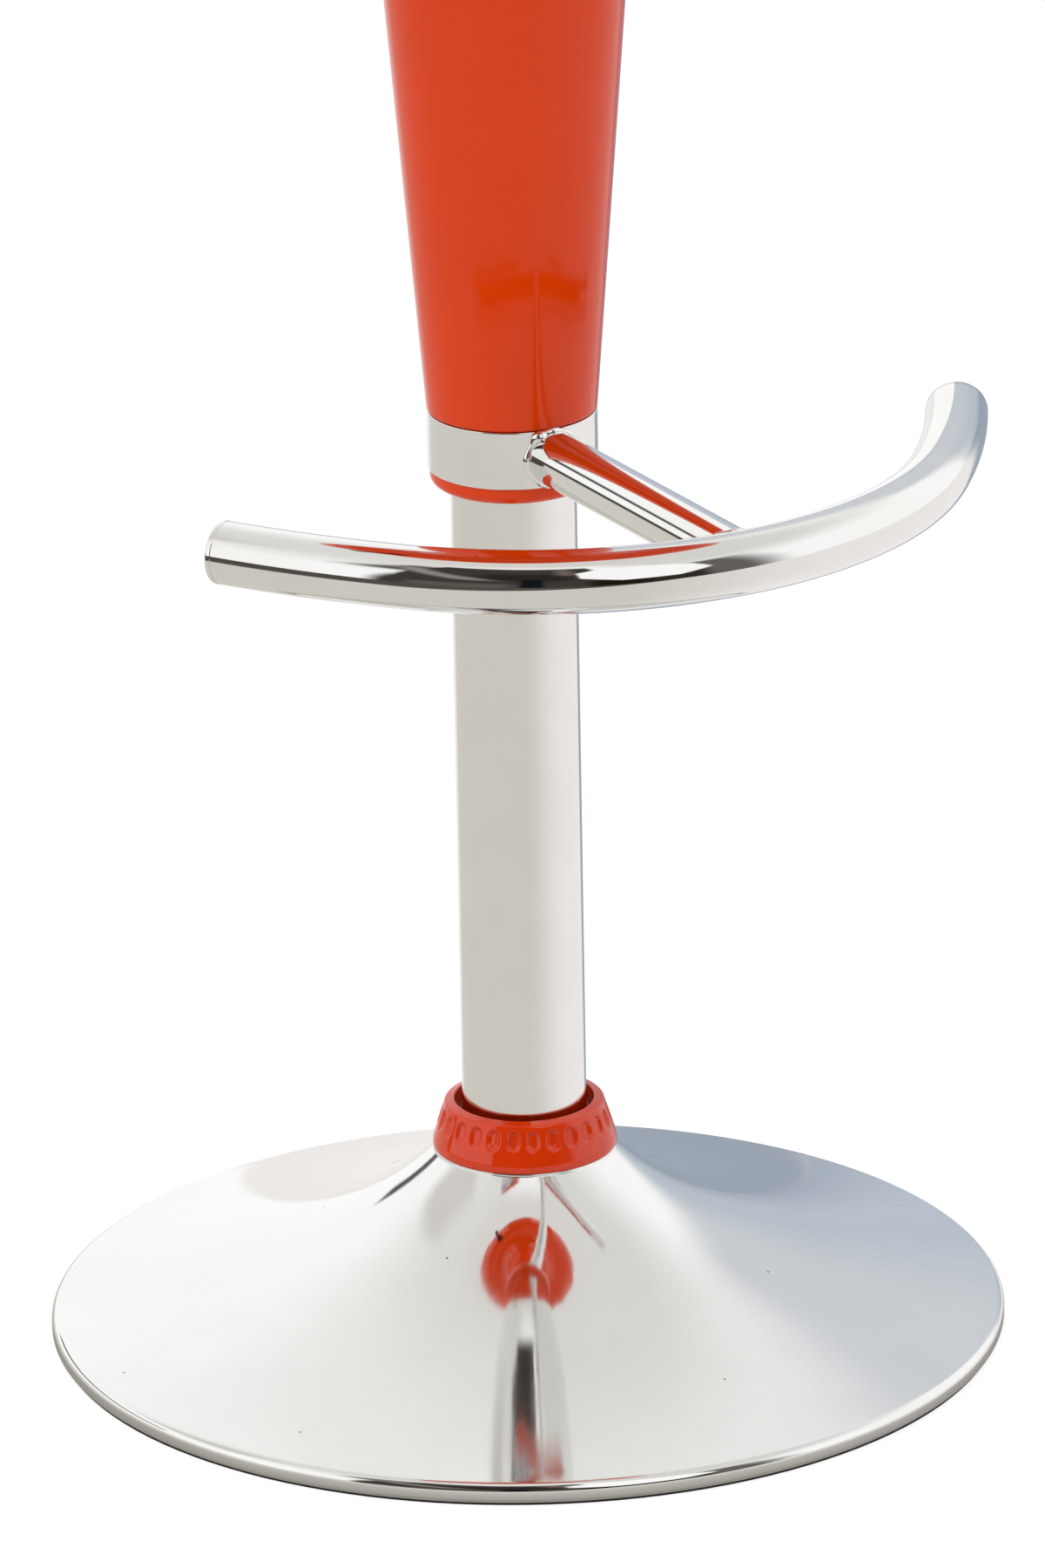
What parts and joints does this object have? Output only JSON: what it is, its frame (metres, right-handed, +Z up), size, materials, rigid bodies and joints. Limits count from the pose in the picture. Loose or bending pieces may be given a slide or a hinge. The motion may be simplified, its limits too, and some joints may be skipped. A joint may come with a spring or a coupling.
{
  "type": "bar stool",
  "caption": "Swivel bar stool with gas lift: round trumpet base, chromed column, moulded tub seat on a tapering cone, bent footrest on a collar.",
  "frame": {"origin": "centre of the round base on the floor, under the column", "axes": "+Z up along the column, -Y towards the footrest and the front of the seat, with the height lever on the -X side"},
  "size_m": [0.385, 0.39, 0.94],
  "materials": {
    "chromed_steel": "mirror polished",
    "orange_abs": "gloss",
    "zinc_plated_steel": "satin",
    "ground_steel": "ground",
    "black_steel": "powder coated",
    "cast_iron": "raw",
    "black_rubber": "matt",
    "white_acetal": "satin",
    "black_abs": "satin"
  },
  "bodies": {
    "base": {"base_trumpet": "chromed_steel", "base_plate": "zinc_plated_steel", "ballast_ring": "cast_iron", "floor_gasket": "black_rubber", "column_foot": "zinc_plated_steel", "foot_screws": "zinc_plated_steel", "column_tube": "chromed_steel", "base_ring": "orange_abs", "column_guide": "white_acetal", "lower_race": "ground_steel"},
    "rod": {"piston_rod": "ground_steel", "piston": "white_acetal", "piston_ring": "black_rubber", "piston_nut": "zinc_plated_steel", "rod_clip": "ground_steel", "rod_buffer": "black_rubber", "upper_race": "ground_steel", "ball_cage": "white_acetal", "thrust_balls": "ground_steel"},
    "seat": {"seat_shell": "orange_abs", "seat_pan": "orange_abs", "mechanism_plate": "black_steel", "taper_socket": "black_steel", "seat_screws": "zinc_plated_steel", "seat_washers": "zinc_plated_steel", "lever_pin": "zinc_plated_steel", "gas_cylinder": "black_steel", "cylinder_end_bush": "white_acetal", "trim_bush": "orange_abs", "footrest_collar": "chromed_steel", "collar_screw": "zinc_plated_steel", "footrest_strut": "chromed_steel", "footrest_bar": "chromed_steel", "end_cap_left": "chromed_steel", "end_cap_right": "chromed_steel"},
    "lever": {"lever_rod": "chromed_steel", "lever_paddle": "black_abs"},
    "pin": {"release_pin": "ground_steel"}
  },
  "joints": [
    {"name": "swivel", "type": "hinge", "parent": "base", "child": "rod", "pos_m": [0, 0, 0.035], "axis": [0, 0, 1], "continuous": true},
    {"name": "seat_height", "type": "slide", "parent": "rod", "child": "seat", "axis": [0, 0, 1], "range_m": [-0.21, 0]},
    {"name": "height_lever", "type": "hinge", "parent": "seat", "child": "lever", "pos_m": [-0.025, 0, 0.757], "axis": [0, 1, 0], "range_deg": [0, 8], "stiffness_Nm_per_rad": 2, "springref_deg": -5.73},
    {"name": "valve_press", "type": "slide", "parent": "seat", "child": "pin", "axis": [0, 0, -1], "range_m": [0, 0.0036]}
  ],
  "couplings": [
    {"joint": "valve_press", "follows": "height_lever", "m_per_rad": 0.025}
  ]
}
